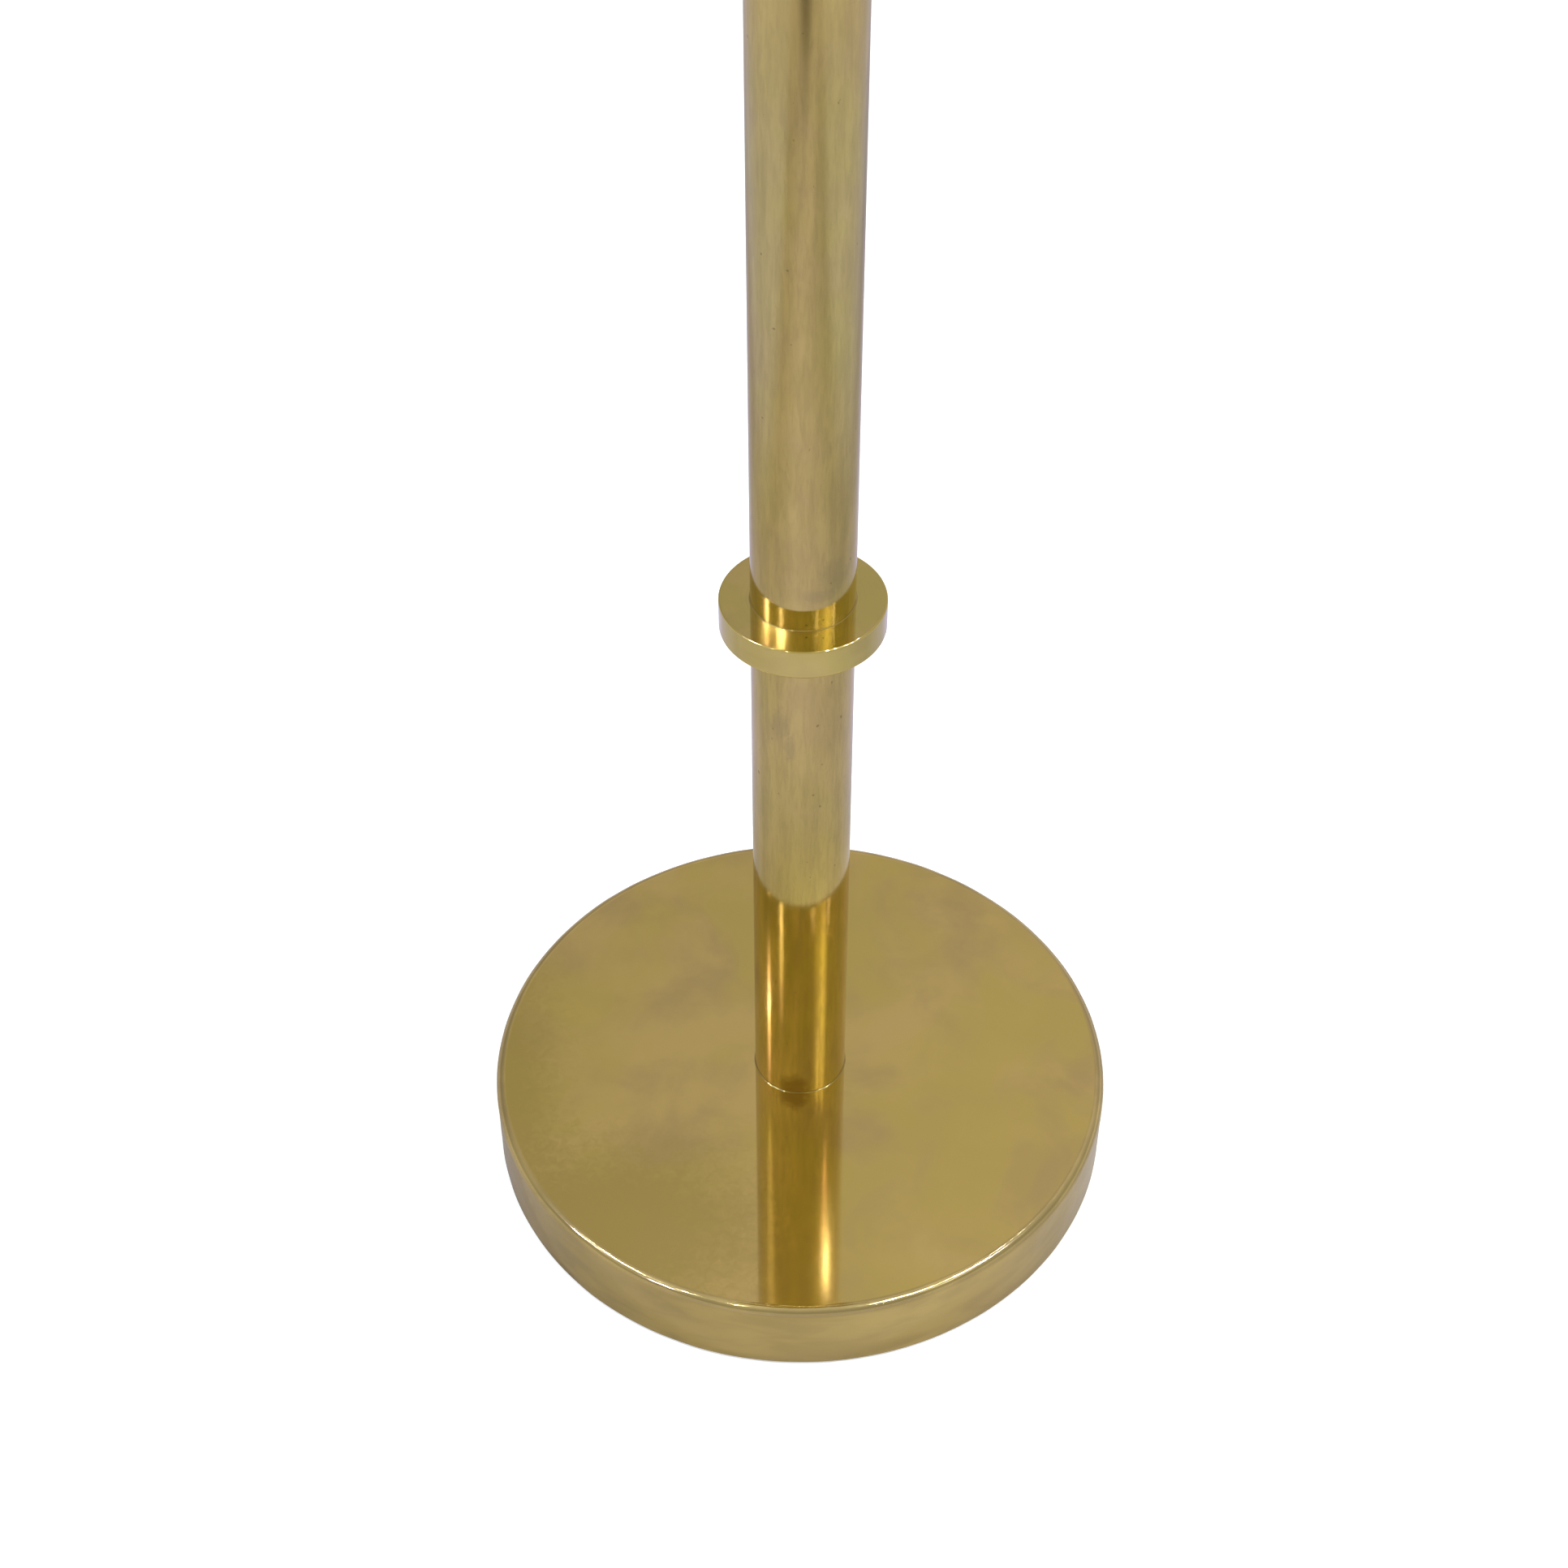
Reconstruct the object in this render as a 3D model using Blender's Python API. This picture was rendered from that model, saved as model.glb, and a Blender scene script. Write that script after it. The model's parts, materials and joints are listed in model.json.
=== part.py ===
"""Tall brass pillar candle holder.

A turned stack on a heavy round base: base, lower tube, collar, upper tube, collar, drip pan and
spike, all clamped together by one tie rod. The nut under the base pulls the rod down, and the
candle spike is the rod's nut at the top.

Units are metres and +Z is up. The origin is the middle of the felt's underside, so the holder
stands on the plane z = 0. Pieces that touch in the real stack are drawn GAP apart.
"""

import math

import bmesh
import bpy
from mathutils import Matrix

# ---- driving sizes -------------------------------------------------------------------------

GAP = 0.0003

BASE_RADIUS = 0.085
BASE_HEIGHT = 0.0225          # the brass edge, seen from the side
BASE_EDGE_ROUND = 0.0018      # rounding of the base's top edge
BASE_RIM_BREAK = 0.0005       # rounding of the brass edge near the table
COVER_WALL = 0.003
COVER_HOLE_RADIUS = 0.008     # takes the foot bush's spigot

FELT_THICKNESS = 0.002
FELT_MARGIN = 0.0015          # between the felt's edge and the inside of the brass edge
RIM_LIFT = 0.0005             # the felt keeps the brass edge this far off the table

PLATE_THICKNESS = 0.0015
PLATE_ACCESS_RADIUS = 0.014   # a socket spanner reaches the rod nut through it
COUNTERBORE_RADIUS = 0.013
COUNTERBORE_DEPTH = 0.0093

TUBE_RADIUS = 0.0125
TUBE_WALL = 0.0015
TUBE_END_BREAK = 0.0004       # the small chamfer on each tube end
BUSH_BREAK = 0.0004

COLLAR_RADIUS = 0.020
COLLAR_HEIGHT = 0.008
COLLAR_EDGE_ROUND = 0.0006
STEM_COLLAR_HEIGHT = 0.1829   # underside of the stem collar above the table
UPPER_TUBE_LENGTH = 0.227

FOOT_BUSH_LENGTH = 0.012      # the part inside the tube
COUPLING_LENGTH = 0.040
HEAD_BUSH_LENGTH = 0.028

PAN_MOUTH_RADIUS = 0.0605     # inside the lip's top edge
PAN_SHEET = 0.0015
PAN_FLOOR_RADIUS = 0.056
PAN_LIP_HEIGHT = 0.009        # lip's top above the pan floor
PAN_CORNER_ROUND = 0.004
PAN_BOSS_RADIUS = 0.0145      # foot of the embossed boss that carries the washer
PAN_BOSS_TOP_RADIUS = 0.0115
PAN_BOSS_HEIGHT = 0.002
PAN_WASHER_RADIUS = 0.0105
PAN_WASHER_THICKNESS = 0.001

SPIKE_FLANGE_RADIUS = 0.0095
SPIKE_FLANGE_HEIGHT = 0.003
SPIKE_ROOT_RADIUS = 0.0055
SPIKE_TIP_RADIUS = 0.0004
SPIKE_HEIGHT = 0.0381
SPIKE_BORE_DEPTH = 0.010
SPIKE_ROOT_ROUND = 0.001

ROD_RADIUS = 0.003            # M6 studding, drawn without its thread
ROD_TAIL = 0.001              # stands out below its nut
NUT_ACROSS_FLATS = 0.010
NUT_HEIGHT = 0.005
NUT_CHAMFER = 0.0006
ROD_WASHER_RADIUS = 0.009
ROD_WASHER_THICKNESS = 0.0016
SPRING_WASHER_RADIUS = 0.0059
SPRING_WASHER_THICKNESS = 0.0016
SPRING_WASHER_ANGLE = math.radians(346)

SCREW_COUNT = 3
SCREW_CIRCLE_RADIUS = 0.055
SCREW_FIRST_ANGLE = math.radians(90)
SCREW_RADIUS = 0.002
SCREW_HEAD_RADIUS = 0.0037
SCREW_HEAD_LAND = 0.0003      # straight rim of the head, under its flat face
SCREW_LENGTH = 0.009
SCREW_SLOT_WIDTH = 0.001
SCREW_SLOT_DEPTH = 0.0006

ARC_STEPS = 3                 # edges in each rounded corner
WIDE_SEGMENTS = 64            # around the base and the pan
STEM_SEGMENTS = 40
SMALL_SEGMENTS = 24
SHARP_ANGLE = math.radians(35)

# ---- heights worked out from the sizes above, bottom to top ----------------------------------

BASE_TOP = RIM_LIFT + BASE_HEIGHT
COVER_CEILING = BASE_TOP - COVER_WALL
COVER_BORE_RADIUS = BASE_RADIUS - COVER_WALL
INSERT_RADIUS = COVER_BORE_RADIUS - GAP
FELT_RADIUS = COVER_BORE_RADIUS - FELT_MARGIN
PLATE_BOTTOM = FELT_THICKNESS + GAP
PLATE_TOP = PLATE_BOTTOM + PLATE_THICKNESS
WEIGHT_BOTTOM = PLATE_TOP + GAP
WEIGHT_TOP = COVER_CEILING - GAP
COUNTERBORE_CEILING = WEIGHT_BOTTOM + COUNTERBORE_DEPTH

ROD_WASHER_BOTTOM = COUNTERBORE_CEILING - GAP - ROD_WASHER_THICKNESS
SPRING_WASHER_BOTTOM = ROD_WASHER_BOTTOM - GAP - SPRING_WASHER_THICKNESS
NUT_BOTTOM = SPRING_WASHER_BOTTOM - GAP - NUT_HEIGHT
ROD_BOTTOM = NUT_BOTTOM - ROD_TAIL
ROD_HOLE_RADIUS = ROD_RADIUS + GAP

TUBE_BORE_RADIUS = TUBE_RADIUS - TUBE_WALL
BUSH_RADIUS = TUBE_BORE_RADIUS - GAP
LOWER_TUBE_BOTTOM = BASE_TOP + GAP
LOWER_TUBE_TOP = STEM_COLLAR_HEIGHT - GAP
STEM_COLLAR_TOP = STEM_COLLAR_HEIGHT + COLLAR_HEIGHT
UPPER_TUBE_BOTTOM = STEM_COLLAR_TOP + GAP
UPPER_TUBE_TOP = UPPER_TUBE_BOTTOM + UPPER_TUBE_LENGTH
PAN_COLLAR_HEIGHT = UPPER_TUBE_TOP + GAP
PAN_COLLAR_TOP = PAN_COLLAR_HEIGHT + COLLAR_HEIGHT

PAN_FLOOR = PAN_COLLAR_TOP + GAP + PAN_SHEET
PAN_BOSS_TOP = PAN_FLOOR + PAN_BOSS_HEIGHT
PAN_WASHER_BOTTOM = PAN_BOSS_TOP + GAP
SPIKE_BOTTOM = PAN_WASHER_BOTTOM + PAN_WASHER_THICKNESS + GAP
ROD_TOP = SPIKE_BOTTOM + SPIKE_BORE_DEPTH - GAP

# ---- materials ---------------------------------------------------------------------------------


def make_material(name, color, roughness, metallic):
    """A Principled BSDF with one colour, roughness and metallic value."""
    material = bpy.data.materials.new(name)
    material.use_nodes = True
    shader = material.node_tree.nodes["Principled BSDF"]
    shader.inputs["Base Color"].default_value = (*color, 1.0)
    shader.inputs["Roughness"].default_value = roughness
    shader.inputs["Metallic"].default_value = metallic
    return material


def make_materials():
    """The finishes, by name."""
    return {
        "polished_brass": make_material("polished_brass", (0.62, 0.48, 0.19), 0.14, 1.0),
        "turned_brass": make_material("turned_brass", (0.60, 0.46, 0.20), 0.32, 1.0),
        "cast_iron": make_material("cast_iron", (0.10, 0.10, 0.11), 0.75, 1.0),
        "zinc_steel": make_material("zinc_steel", (0.52, 0.53, 0.55), 0.38, 1.0),
        "green_felt": make_material("green_felt", (0.035, 0.085, 0.050), 0.95, 0.0),
    }


# ---- shape helpers -----------------------------------------------------------------------------


def rounded(outline):
    """Turn corners (radius, height, rounding) into points, with an arc at each rounded one."""
    points = []
    last = len(outline) - 1
    for index, (r, z, rounding) in enumerate(outline):
        if not rounding:
            points.append((r, z))
            continue
        before = outline[index - 1]
        after = outline[0 if index == last else index + 1]
        to_before = math.atan2(before[1] - z, before[0] - r)
        to_after = math.atan2(after[1] - z, after[0] - r)
        turn = (to_after - to_before + math.pi) % math.tau - math.pi
        reach = rounding / abs(math.tan(turn / 2))
        middle = to_before + turn / 2
        center_distance = rounding / abs(math.sin(turn / 2))
        center_r = r + center_distance * math.cos(middle)
        center_z = z + center_distance * math.sin(middle)
        start = math.atan2(z + reach * math.sin(to_before) - center_z,
                           r + reach * math.cos(to_before) - center_r)
        end = math.atan2(z + reach * math.sin(to_after) - center_z,
                         r + reach * math.cos(to_after) - center_r)
        sweep = (end - start + math.pi) % math.tau - math.pi
        for step in range(ARC_STEPS + 1):
            angle = start + sweep * step / ARC_STEPS
            points.append((center_r + rounding * math.cos(angle),
                           center_z + rounding * math.sin(angle)))
    return points


def add_object(name, mesh_data, material, round_piece=True):
    """Make a named object from a bmesh; a round one is smooth except across sharp edges."""
    bmesh.ops.recalc_face_normals(mesh_data, faces=mesh_data.faces)
    mesh = bpy.data.meshes.new(name)
    mesh_data.to_mesh(mesh)
    mesh_data.free()
    if round_piece:
        mesh.shade_smooth()
        mesh.set_sharp_from_angle(angle=SHARP_ANGLE)
    mesh.materials.append(material)
    piece = bpy.data.objects.new(name, mesh)
    bpy.context.scene.collection.objects.link(piece)
    return piece


def spin_outline(outline, segments, closed, angle=math.tau):
    """Spin an outline of (radius, height, rounding) corners about Z and weld what meets."""
    shape = bmesh.new()
    verts = [shape.verts.new((r, 0.0, z)) for r, z in rounded(outline)]
    edges = [shape.edges.new(pair) for pair in zip(verts, verts[1:])]
    if closed:
        edges.append(shape.edges.new((verts[-1], verts[0])))
    full_turn = angle == math.tau
    geometry = verts + edges
    if not full_turn:
        geometry.append(shape.faces.new(verts))
    bmesh.ops.spin(shape, geom=geometry, cent=(0, 0, 0), axis=(0, 0, 1), angle=angle,
                   steps=segments, use_merge=full_turn, use_duplicate=False)
    bmesh.ops.remove_doubles(shape, verts=shape.verts, dist=1e-7)
    return shape


def turned(name, outline, segments, material, closed=True):
    """A turned piece. A closed outline stays off the axis; an open one starts and ends on it."""
    return add_object(name, spin_outline(outline, segments, closed), material)


def ring_outline(inner, outer, bottom, top, outer_round=0.0, inner_round=0.0):
    """The outline of a plain ring or tube."""
    return [(inner, bottom, inner_round), (outer, bottom, outer_round),
            (outer, top, outer_round), (inner, top, inner_round)]


def boolean(piece, cutter, operation):
    """Cut or intersect a piece with a cutter, which stays as a hidden wire guide."""
    modifier = piece.modifiers.new(cutter.name, "BOOLEAN")
    modifier.operation = operation
    modifier.object = cutter
    cutter.hide_render = True
    cutter.display_type = "WIRE"


def screw_places():
    """The centres of the bottom plate's screws."""
    for index in range(SCREW_COUNT):
        angle = SCREW_FIRST_ANGLE + math.tau * index / SCREW_COUNT
        yield SCREW_CIRCLE_RADIUS * math.cos(angle), SCREW_CIRCLE_RADIUS * math.sin(angle)


# ---- base --------------------------------------------------------------------------------------


def make_base_cover(material):
    """The brass shell: flat top, straight edge, open underneath."""
    outline = [
        (COVER_HOLE_RADIUS, BASE_TOP, 0.0),
        (BASE_RADIUS, BASE_TOP, BASE_EDGE_ROUND),
        (BASE_RADIUS, RIM_LIFT, BASE_RIM_BREAK),
        (COVER_BORE_RADIUS, RIM_LIFT, 0.0),
        (COVER_BORE_RADIUS, COVER_CEILING, 0.0),
        (COVER_HOLE_RADIUS, COVER_CEILING, 0.0),
    ]
    turned("base_cover", outline, WIDE_SEGMENTS, material)


def make_base_weight(material, guide):
    """The iron disc inside the cover, with a counterbore for the rod nut and blind screw holes."""
    outline = [
        (ROD_HOLE_RADIUS, WEIGHT_TOP, 0.0),
        (INSERT_RADIUS, WEIGHT_TOP, 0.0),
        (INSERT_RADIUS, WEIGHT_BOTTOM, 0.0),
        (COUNTERBORE_RADIUS, WEIGHT_BOTTOM, 0.0),
        (COUNTERBORE_RADIUS, COUNTERBORE_CEILING, 0.0),
        (ROD_HOLE_RADIUS, COUNTERBORE_CEILING, 0.0),
    ]
    weight = turned("base_weight", outline, WIDE_SEGMENTS, material)
    boolean(weight, guide, "DIFFERENCE")


def make_bottom_plate(material, guide):
    """The steel closing plate, with an access hole and countersunk screw holes."""
    outline = ring_outline(PLATE_ACCESS_RADIUS, INSERT_RADIUS, PLATE_BOTTOM, PLATE_TOP)
    plate = turned("bottom_plate", outline, WIDE_SEGMENTS, material)
    boolean(plate, guide, "DIFFERENCE")


def screw_outline(extra):
    """A countersunk screw, head down, as an open outline that is `extra` larger all round."""
    land_top = PLATE_BOTTOM + SCREW_HEAD_LAND
    cone_top = land_top + SCREW_HEAD_RADIUS - SCREW_RADIUS
    shank_top = PLATE_BOTTOM + SCREW_LENGTH + extra
    return [
        (0.0, PLATE_BOTTOM - extra, 0.0),
        (SCREW_HEAD_RADIUS + extra, PLATE_BOTTOM - extra, 0.0),
        (SCREW_HEAD_RADIUS + extra, land_top, 0.0),
        (SCREW_RADIUS + extra, cone_top, 0.0),
        (SCREW_RADIUS + extra, shank_top, 0.0),
        (0.0, shank_top, 0.0),
    ]


def make_screw_hole_guide(material):
    """One guide holding all the screw holes, which the plate and the weight share."""
    guide = bmesh.new()
    for x, y in screw_places():
        hole = spin_outline(screw_outline(GAP), SMALL_SEGMENTS, closed=False)
        bmesh.ops.translate(hole, verts=hole.verts, vec=(x, y, 0.0))
        mesh = bpy.data.meshes.new("screw_hole")
        hole.to_mesh(mesh)
        hole.free()
        guide.from_mesh(mesh)
        bpy.data.meshes.remove(mesh)
    return add_object("screw_hole_guide", guide, material)


def make_bottom_plate_screws(material):
    """The countersunk screws with a straight slot, which hold the plate to the weight."""
    for number, (x, y) in enumerate(screw_places(), start=1):
        screw = turned(f"bottom_plate_screw_{number}", screw_outline(0.0), SMALL_SEGMENTS,
                       material, closed=False)
        screw.location = (x, y, 0.0)
        slot = bmesh.new()
        bmesh.ops.create_cube(slot, size=1.0, matrix=Matrix.Diagonal(
            (SCREW_HEAD_RADIUS * 3, SCREW_SLOT_WIDTH, SCREW_SLOT_DEPTH * 2, 1.0)))
        guide = add_object(f"screw_slot_guide_{number}", slot, material, round_piece=False)
        guide.location = (x, y, PLATE_BOTTOM)
        boolean(screw, guide, "DIFFERENCE")


def make_felt_pad(material):
    """The glued felt disc that the holder stands on."""
    outline = [(0.0, 0.0, 0.0), (FELT_RADIUS, 0.0, 0.0),
               (FELT_RADIUS, FELT_THICKNESS, 0.0), (0.0, FELT_THICKNESS, 0.0)]
    turned("felt_pad", outline, WIDE_SEGMENTS, material, closed=False)


# ---- tie rod and its fastenings --------------------------------------------------------------


def make_tie_rod(material):
    """The long rod on the axis that clamps the stack."""
    outline = [(0.0, ROD_BOTTOM, 0.0), (ROD_RADIUS, ROD_BOTTOM, 0.0),
               (ROD_RADIUS, ROD_TOP, 0.0), (0.0, ROD_TOP, 0.0)]
    turned("tie_rod", outline, SMALL_SEGMENTS, material, closed=False)


def make_rod_nut(material):
    """A hexagon nut: a chamfered round blank with its bore, kept where it meets the hexagon."""
    corner_radius = NUT_ACROSS_FLATS / math.sqrt(3)
    top = NUT_BOTTOM + NUT_HEIGHT
    blank = [
        (ROD_HOLE_RADIUS, NUT_BOTTOM, 0.0),
        (corner_radius - NUT_CHAMFER, NUT_BOTTOM, 0.0),
        (corner_radius + NUT_CHAMFER, NUT_BOTTOM + NUT_CHAMFER, 0.0),
        (corner_radius + NUT_CHAMFER, top - NUT_CHAMFER, 0.0),
        (corner_radius - NUT_CHAMFER, top, 0.0),
        (ROD_HOLE_RADIUS, top, 0.0),
    ]
    nut = turned("rod_nut", blank, SMALL_SEGMENTS, material)
    hexagon = bmesh.new()
    middle = Matrix.Translation((0.0, 0.0, NUT_BOTTOM + NUT_HEIGHT / 2))
    bmesh.ops.create_cone(hexagon, cap_ends=True, segments=6, radius1=corner_radius,
                          radius2=corner_radius, depth=NUT_HEIGHT * 2, matrix=middle)
    guide = add_object("nut_hexagon_guide", hexagon, material, round_piece=False)
    boolean(nut, guide, "INTERSECT")


def make_rod_washers(material):
    """The wide washer against the weight and the split spring washer on the nut."""
    turned("rod_washer",
           ring_outline(ROD_HOLE_RADIUS, ROD_WASHER_RADIUS, ROD_WASHER_BOTTOM,
                        ROD_WASHER_BOTTOM + ROD_WASHER_THICKNESS),
           SMALL_SEGMENTS, material)
    split = ring_outline(ROD_HOLE_RADIUS, SPRING_WASHER_RADIUS, SPRING_WASHER_BOTTOM,
                         SPRING_WASHER_BOTTOM + SPRING_WASHER_THICKNESS)
    shape = spin_outline(split, SMALL_SEGMENTS, closed=True, angle=SPRING_WASHER_ANGLE)
    add_object("rod_spring_washer", shape, material)


# ---- stem --------------------------------------------------------------------------------------


def make_tube(name, bottom, top, material):
    """One length of stem tube, with the small chamfer at both outer ends."""
    chamfered = [
        (TUBE_BORE_RADIUS, bottom, 0.0),
        (TUBE_RADIUS - TUBE_END_BREAK, bottom, 0.0),
        (TUBE_RADIUS, bottom + TUBE_END_BREAK, 0.0),
        (TUBE_RADIUS, top - TUBE_END_BREAK, 0.0),
        (TUBE_RADIUS - TUBE_END_BREAK, top, 0.0),
        (TUBE_BORE_RADIUS, top, 0.0),
    ]
    turned(name, chamfered, STEM_SEGMENTS, material)


def make_collar(name, bottom, material):
    """A plain turned ring between two lengths of the stack."""
    outline = ring_outline(TUBE_BORE_RADIUS, COLLAR_RADIUS, bottom, bottom + COLLAR_HEIGHT,
                           outer_round=COLLAR_EDGE_ROUND)
    turned(name, outline, STEM_SEGMENTS, material)


def make_foot_bush(material):
    """The stepped bush that centres the tube's foot in the base cover's hole."""
    spigot_radius = COVER_HOLE_RADIUS - GAP
    top = LOWER_TUBE_BOTTOM + FOOT_BUSH_LENGTH
    outline = [
        (ROD_HOLE_RADIUS, COVER_CEILING, 0.0),
        (spigot_radius, COVER_CEILING, 0.0),
        (spigot_radius, LOWER_TUBE_BOTTOM, 0.0),
        (BUSH_RADIUS, LOWER_TUBE_BOTTOM, 0.0),
        (BUSH_RADIUS, top - BUSH_BREAK, 0.0),
        (BUSH_RADIUS - BUSH_BREAK, top, 0.0),
        (ROD_HOLE_RADIUS, top, 0.0),
    ]
    turned("foot_bush", outline, STEM_SEGMENTS, material)


def make_inner_sleeve(name, bottom, top, material):
    """A bored plug that lines up the tube ends and the collar around it."""
    outline = [
        (ROD_HOLE_RADIUS, bottom, 0.0),
        (BUSH_RADIUS - BUSH_BREAK, bottom, 0.0),
        (BUSH_RADIUS, bottom + BUSH_BREAK, 0.0),
        (BUSH_RADIUS, top - BUSH_BREAK, 0.0),
        (BUSH_RADIUS - BUSH_BREAK, top, 0.0),
        (ROD_HOLE_RADIUS, top, 0.0),
    ]
    turned(name, outline, STEM_SEGMENTS, material)


# ---- top ---------------------------------------------------------------------------------------


def make_drip_pan(material):
    """The sheet pan: its upper surface spun in one line, then thickened downwards."""
    surface = [
        (ROD_HOLE_RADIUS, PAN_BOSS_TOP, 0.0),
        (PAN_BOSS_TOP_RADIUS, PAN_BOSS_TOP, 0.0),
        (PAN_BOSS_RADIUS, PAN_FLOOR, 0.0),
        (PAN_FLOOR_RADIUS, PAN_FLOOR, PAN_CORNER_ROUND),
        (PAN_MOUTH_RADIUS, PAN_FLOOR + PAN_LIP_HEIGHT, 0.0),
    ]
    pan = turned("drip_pan", surface, WIDE_SEGMENTS, material, closed=False)
    thickness = pan.modifiers.new("sheet", "SOLIDIFY")
    thickness.thickness = PAN_SHEET
    thickness.offset = -1.0
    thickness.use_even_offset = True


def make_candle_spike(material):
    """The turned spike, with a flange and a blind tapped hole for the rod's top end."""
    root = SPIKE_BOTTOM + SPIKE_FLANGE_HEIGHT
    bore_top = SPIKE_BOTTOM + SPIKE_BORE_DEPTH
    tip = SPIKE_BOTTOM + SPIKE_HEIGHT
    outline = [
        (0.0, bore_top, 0.0),
        (ROD_HOLE_RADIUS, bore_top, 0.0),
        (ROD_HOLE_RADIUS, SPIKE_BOTTOM, 0.0),
        (SPIKE_FLANGE_RADIUS, SPIKE_BOTTOM, 0.0),
        (SPIKE_FLANGE_RADIUS, root, COLLAR_EDGE_ROUND),
        (SPIKE_ROOT_RADIUS, root, SPIKE_ROOT_ROUND),
        (SPIKE_TIP_RADIUS, tip, SPIKE_TIP_RADIUS / 2),
        (0.0, tip, 0.0),
    ]
    turned("candle_spike", outline, SMALL_SEGMENTS, material, closed=False)


def make_pan_washer(material):
    """The brass washer between the pan's boss and the spike."""
    outline = ring_outline(ROD_HOLE_RADIUS, PAN_WASHER_RADIUS, PAN_WASHER_BOTTOM,
                           PAN_WASHER_BOTTOM + PAN_WASHER_THICKNESS)
    turned("pan_washer", outline, STEM_SEGMENTS, material)


# ---- the whole holder ------------------------------------------------------------------------


def main():
    for old in list(bpy.data.objects):
        bpy.data.objects.remove(old, do_unlink=True)
    finish = make_materials()
    polished = finish["polished_brass"]
    plain_brass = finish["turned_brass"]
    steel = finish["zinc_steel"]

    make_base_cover(polished)
    screw_guide = make_screw_hole_guide(steel)
    make_base_weight(finish["cast_iron"], screw_guide)
    make_bottom_plate(steel, screw_guide)
    make_bottom_plate_screws(steel)
    make_felt_pad(finish["green_felt"])

    make_tie_rod(steel)
    make_rod_nut(steel)
    make_rod_washers(steel)

    make_foot_bush(plain_brass)
    make_tube("lower_tube", LOWER_TUBE_BOTTOM, LOWER_TUBE_TOP, polished)
    make_collar("stem_collar", STEM_COLLAR_HEIGHT, polished)
    coupling_middle = STEM_COLLAR_HEIGHT + COLLAR_HEIGHT / 2
    make_inner_sleeve("coupling_sleeve", coupling_middle - COUPLING_LENGTH / 2,
                      coupling_middle + COUPLING_LENGTH / 2, plain_brass)
    make_tube("upper_tube", UPPER_TUBE_BOTTOM, UPPER_TUBE_TOP, polished)

    make_inner_sleeve("head_bush", PAN_COLLAR_TOP - HEAD_BUSH_LENGTH, PAN_COLLAR_TOP, plain_brass)
    make_collar("pan_collar", PAN_COLLAR_HEIGHT, polished)
    make_drip_pan(polished)
    make_pan_washer(plain_brass)
    make_candle_spike(polished)


main()
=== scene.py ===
"""Looks of the tall brass pillar candle holder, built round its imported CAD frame.

Metres, +Z up. Every turned piece is made afresh from a finely rounded outline whose sizes come
from the CAD node that it replaces. The pieces hidden inside keep their CAD meshes.
"""

import json
import math

import bmesh
import bpy
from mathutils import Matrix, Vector, noise


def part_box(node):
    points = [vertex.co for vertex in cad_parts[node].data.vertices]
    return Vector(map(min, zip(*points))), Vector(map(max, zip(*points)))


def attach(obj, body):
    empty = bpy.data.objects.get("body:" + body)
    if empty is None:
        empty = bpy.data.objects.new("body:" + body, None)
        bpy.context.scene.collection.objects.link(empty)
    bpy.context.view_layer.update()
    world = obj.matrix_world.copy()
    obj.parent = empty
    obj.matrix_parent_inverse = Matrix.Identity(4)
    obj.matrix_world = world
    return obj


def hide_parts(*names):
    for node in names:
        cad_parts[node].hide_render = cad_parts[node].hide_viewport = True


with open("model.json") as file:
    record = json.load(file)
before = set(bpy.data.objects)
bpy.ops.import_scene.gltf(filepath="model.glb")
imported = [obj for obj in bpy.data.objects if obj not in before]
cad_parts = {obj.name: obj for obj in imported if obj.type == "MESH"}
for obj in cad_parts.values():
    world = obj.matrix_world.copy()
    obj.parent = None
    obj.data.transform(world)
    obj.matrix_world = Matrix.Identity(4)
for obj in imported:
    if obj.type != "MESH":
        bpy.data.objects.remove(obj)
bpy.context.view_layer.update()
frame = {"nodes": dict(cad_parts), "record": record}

# ---- sizes that the frame doesn't state ------------------------------------------------------

BASE_EDGE_ROUND = 0.0023
BASE_RIM_BREAK = 0.0006
BASE_INNER_ROUND = 0.001
BASE_WALL = 0.003
BASE_HOLE = 0.008
BASE_WAVE_START = 0.0818      # the radius where the rim's small waves begin
BASE_WAVE_RUN = 0.003         # how far outwards they take to grow to their full size
BASE_WAVE = 0.00008
BASE_WAVE_RISE = 0.00003
COLLAR_EDGE_ROUND = 0.0004
TUBE_WALL = 0.0015
SOLDER = 0.00024              # the small fillet where a tube stands on a flat face
JOINT_GAP = 0.0003            # what CAD leaves between two pieces that touch
BORE_BREAK = 0.0002

FELT_EDGE_ROUND = 0.0005
FELT_FUZZ = 0.00012
FELT_FUZZ_FINENESS = 400.0

PAN_HOLE = 0.0043
ROD_HOLE = PAN_HOLE - 0.001   # the radius of the hole round the rod in the washer and the spike
PAN_SHEET = 0.0015
PAN_BOSS_HEIGHT = 0.002
PAN_BOSS_TOP = 0.0115
PAN_BOSS_FOOT = 0.0145
PAN_BOSS_ROUND = 0.0008
PAN_FLOOR_RADIUS = 0.056
PAN_CORNER_ROUND = 0.004
PAN_MOUTH_RADIUS = 0.0605
PAN_WAVE = 0.00005
PAN_WAVE_RUN = 0.01           # how far from the boss the waves take to grow to their full size

SPIKE_FLANGE_HEIGHT = 0.003
SPIKE_BORE_DEPTH = 0.010
SPIKE_ROOT = 0.0055
SPIKE_ROOT_ROUND = 0.0012
SPIKE_TIP = 0.0004

WIDE_SEGMENTS = 512
STEM_SEGMENTS = 256
ARC_STEPS = 10
ARC_GUARD = 0.1               # a guard point's distance from its arc, as a share of the rounding
SHEET_LIP = 0.45              # the rounding at a sheet's edges, as a share of its thickness
SHARP_ANGLE = math.radians(30)


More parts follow.
